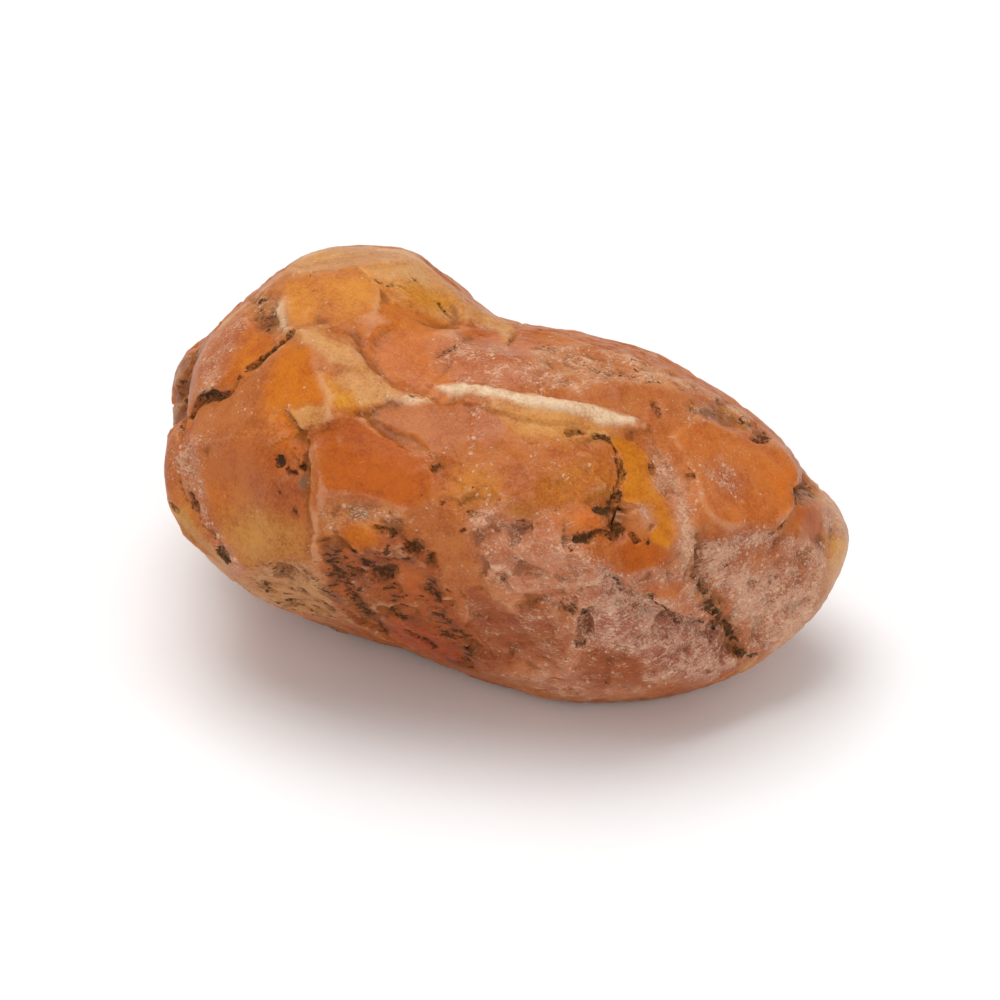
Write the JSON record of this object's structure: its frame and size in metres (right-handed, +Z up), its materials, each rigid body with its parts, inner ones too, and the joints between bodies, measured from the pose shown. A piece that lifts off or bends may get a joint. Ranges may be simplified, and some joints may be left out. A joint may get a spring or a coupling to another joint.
{
  "type": "raw carnelian stone",
  "caption": "Raw carnelian stone: a rough waxy lump with a humped end, a broad body, cracks, chipped steps, pits and a flat resting side.",
  "frame": {"origin": "middle of the stone's outline at its flat resting side", "axes": "+Z up from the resting side, +X along the stone's longest way, from the humped end to the scuffed toe; -Y is the broken front"},
  "size_m": [0.061, 0.0414, 0.0335],
  "materials": {
    "carnelian": "satin"
  },
  "bodies": {
    "root": {"carnelian_stone": "carnelian"}
  },
  "joints": []
}
